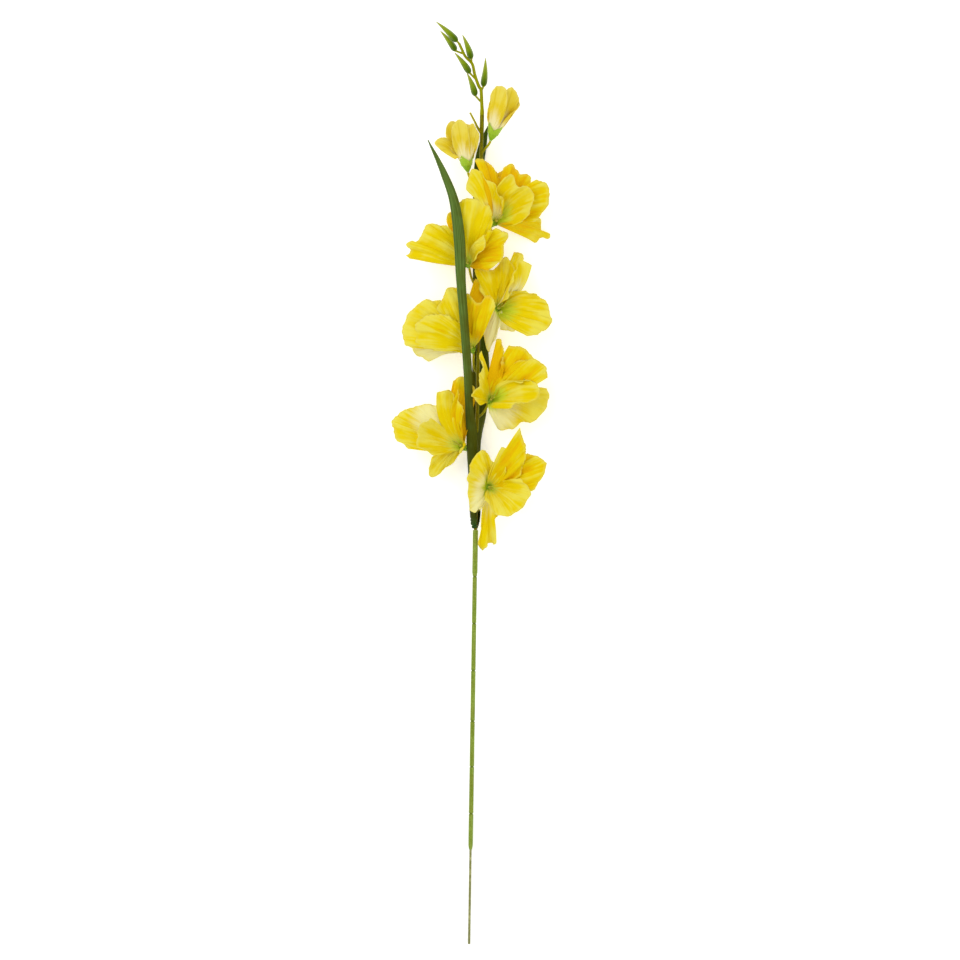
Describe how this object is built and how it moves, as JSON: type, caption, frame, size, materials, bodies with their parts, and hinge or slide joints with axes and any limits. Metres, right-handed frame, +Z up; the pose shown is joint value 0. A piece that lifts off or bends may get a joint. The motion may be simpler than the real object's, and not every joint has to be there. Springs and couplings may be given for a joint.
{
  "type": "artificial gladiolus stem",
  "caption": "Artificial gladiolus stem with open yellow blooms, half-open flowers, a sprig of buds and sword leaves on a wired plastic stem, laid down.",
  "frame": {"origin": "on the surface that the stem lies on, under the middle of its box", "axes": "+Y along the stem from its wire end towards the buds, +Z up, the side that the blooms face, +X to the right seen from above"},
  "size_m": [0.1725, 1.0007, 0.0613],
  "materials": {
    "steel_wire": "dull olive-grey coated wire",
    "sleeve_plastic": "pitted light green plastic tube",
    "olive_stem_plastic": "olive plastic",
    "bud_plastic": "dark green buds with light olive tips",
    "calyx_plastic": "fresh green plastic",
    "petal_fabric": "pleated yellow fabric, gold at the back, pale towards the green throat",
    "half_open_fabric": "pale yellow fabric, cream at the base",
    "stamen_plastic": "pale yellow-green plastic",
    "leaf_fabric": "dark green coated fabric with long veins"
  },
  "bodies": {
    "root": {"bloom_1": "petal_fabric", "bloom_2": "petal_fabric", "bloom_3": "petal_fabric", "bloom_4": "petal_fabric", "bloom_5": "petal_fabric", "bloom_6": "petal_fabric", "bloom_7": "petal_fabric", "bud_sprig": "bud_plastic", "calyx_1": "calyx_plastic", "calyx_2": "calyx_plastic", "calyx_3": "calyx_plastic", "calyx_4": "calyx_plastic", "calyx_5": "calyx_plastic", "calyx_6": "calyx_plastic", "calyx_7": "calyx_plastic", "calyx_left": "calyx_plastic", "calyx_right": "calyx_plastic", "flower_stem": "olive_stem_plastic", "half_open_left": "half_open_fabric", "half_open_right": "half_open_fabric", "leaf_back": "leaf_fabric", "leaf_front": "leaf_fabric", "leaf_right": "leaf_fabric", "stamens_1": "stamen_plastic", "stamens_2": "stamen_plastic", "stamens_3": "stamen_plastic", "stamens_4": "stamen_plastic", "stamens_5": "stamen_plastic", "stamens_6": "stamen_plastic", "stamens_7": "stamen_plastic", "stem_sleeve": "sleeve_plastic", "wire_core": "steel_wire"}
  },
  "joints": []
}
